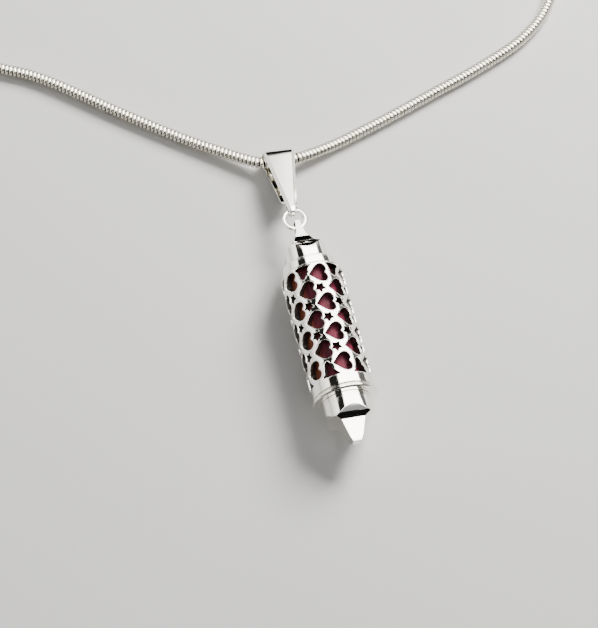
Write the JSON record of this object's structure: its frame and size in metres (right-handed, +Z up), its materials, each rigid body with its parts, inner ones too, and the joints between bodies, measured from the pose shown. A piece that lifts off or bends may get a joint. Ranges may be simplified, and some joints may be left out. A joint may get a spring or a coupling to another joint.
{
  "type": "mezuzah case pendant",
  "caption": "Cylindrical openwork mezuzah case pendant with hearts and stars, a screw cap over a rolled scroll, a jump ring and a folded bail on a snake chain with a lobster clasp.",
  "frame": {"origin": "under the middle of the pendant (from the cap's tip to the bail's fold), on the surface that it lies on", "axes": "+Y from the screw cap's tip towards the bail, +Z up from the surface, +X to the right seen from above"},
  "size_m": [0.1167, 0.117, 0.0104],
  "materials": {
    "polished_silver": "mirror-polished silver, faintly warm, fine polishing scratches",
    "chain_silver": "polished silver snake chain, slightly yellower, dark between the links",
    "maroon_liner": "deep maroon enamelled tube with fine lengthwise streaks",
    "parchment": "matte cream parchment",
    "linen_tie": "plain woven linen tape"
  },
  "bodies": {
    "chain": {"chain_run": "chain_silver", "chain_coil": "chain_silver", "chain_tail": "chain_silver", "end_cap_clasp": "chain_silver", "end_cap_tail": "chain_silver", "clasp_ring": "chain_silver", "tail_ring": "chain_silver"},
    "clasp": {"clasp_body": "chain_silver", "clasp_pin": "chain_silver"},
    "clasp_lever": {"clasp_lever": "chain_silver"},
    "bail": {"bail": "polished_silver"},
    "jump_ring": {"jump_ring": "polished_silver"},
    "case": {"openwork_sleeve": "polished_silver", "liner_tube": "maroon_liner", "shoulder_collar": "polished_silver", "top_cap": "polished_silver", "threaded_bush": "polished_silver"},
    "scroll": {"parchment_scroll": "parchment", "scroll_tie": "linen_tie"},
    "rim": {"rim_ring": "polished_silver"},
    "bottom_cap": {"bottom_cap": "polished_silver"}
  },
  "joints": [
    {"name": "bail_on_chain", "type": "hinge", "parent": "chain", "child": "bail", "pos_m": [0.00053, 0.02556, 0.0021], "axis": [-0.9981, 0.0611, 0], "range_deg": [0, 90]},
    {"name": "ring_in_bail", "type": "hinge", "parent": "bail", "child": "jump_ring", "pos_m": [-0.00015, 0.01438, 0.0052], "axis": [-1, 0, 0], "range_deg": [0, 60]},
    {"name": "case_on_ring", "type": "hinge", "parent": "jump_ring", "child": "case", "pos_m": [0, 0.01093, 0.0052], "axis": [-1, 0, 0], "range_deg": [0, 60]},
    {"name": "scroll_draw", "type": "slide", "parent": "case", "child": "scroll", "axis": [0, -1, 0], "range_m": [0, 0.022]},
    {"name": "cap_travel", "type": "slide", "parent": "scroll", "child": "rim", "axis": [0, -1, 0], "range_m": [0, 0.0025]},
    {"name": "cap_turn", "type": "hinge", "parent": "rim", "child": "bottom_cap", "pos_m": [0, -0.0217, 0.0052], "axis": [0, -1, 0], "range_deg": [0, 1800]},
    {"name": "clasp_on_ring", "type": "hinge", "parent": "chain", "child": "clasp", "pos_m": [-0.05221, 0.06898, 0.00105], "axis": [0, 0, 1], "range_deg": [-20, 20]},
    {"name": "clasp_gate", "type": "hinge", "parent": "clasp", "child": "clasp_lever", "pos_m": [-0.05248, 0.07143, 0.00105], "axis": [0, 0, 1], "range_deg": [0, 28], "stiffness_Nm_per_rad": 0.002, "springref_deg": -17.19}
  ],
  "couplings": [
    {"joint": "cap_turn", "follows": "cap_travel", "rad_per_m": 12566}
  ]
}
